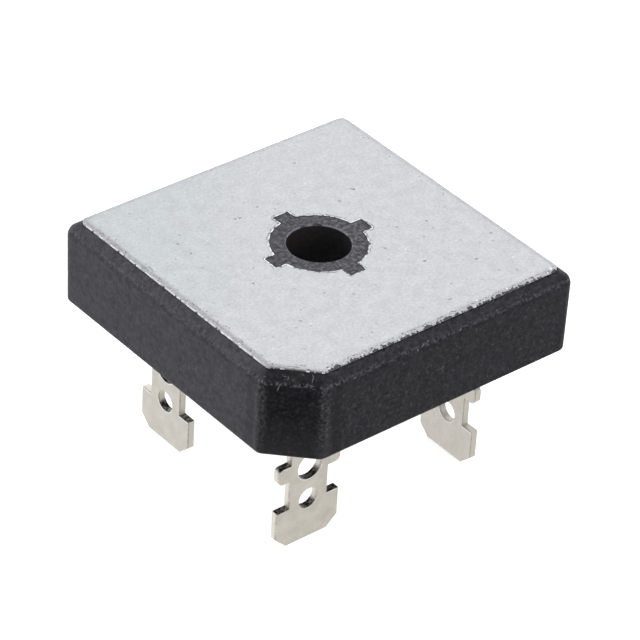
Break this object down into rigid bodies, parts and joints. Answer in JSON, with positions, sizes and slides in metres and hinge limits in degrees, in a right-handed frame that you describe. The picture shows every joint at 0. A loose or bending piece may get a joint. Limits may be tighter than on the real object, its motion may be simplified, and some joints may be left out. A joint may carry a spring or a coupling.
{
  "type": "bridge rectifier",
  "caption": "Square moulded diode bridge with a heat-sink plate, a central screw hole and flat blade leads; turns AC into DC.",
  "frame": {"origin": "on the screw hole's axis in the outer face of the heat-sink plate; the part stands below it on its four lead tips", "axes": "+Z out of the heat-sink plate; the cut corner and the positive lead are at -X -Y, the negative lead at +X +Y"},
  "size_m": [0.0286, 0.0286, 0.0197],
  "materials": {
    "epoxy": "black epoxy moulding, fine matte with light speckles and scuffs",
    "plate": "matte pale grey, lightly mottled, with tiny pits and a ragged edge",
    "plating": "satin warm grey plating over copper",
    "ceramic": "plain white",
    "silicon": "dark grey silicon",
    "solder": "dull grey solder",
    "copper": "bare copper"
  },
  "bodies": {
    "root": {"moulded_body": "epoxy", "heat_sink_plate": "plate", "insulator_wafer": "ceramic", "positive_lead": "plating", "negative_lead": "plating", "ac_lead_left": "plating", "ac_lead_right": "plating", "diode_die_1": "silicon", "die_solder_1": "solder", "cap_solder_1": "solder", "clip_foot_solder_1": "solder", "jumper_clip_1": "copper", "diode_die_2": "silicon", "die_solder_2": "solder", "cap_solder_2": "solder", "clip_foot_solder_2": "solder", "jumper_clip_2": "copper", "diode_die_3": "silicon", "die_solder_3": "solder", "cap_solder_3": "solder", "clip_foot_solder_3": "solder", "jumper_clip_3": "copper", "diode_die_4": "silicon", "die_solder_4": "solder", "cap_solder_4": "solder", "clip_foot_solder_4": "solder", "jumper_clip_4": "copper"}
  },
  "joints": []
}
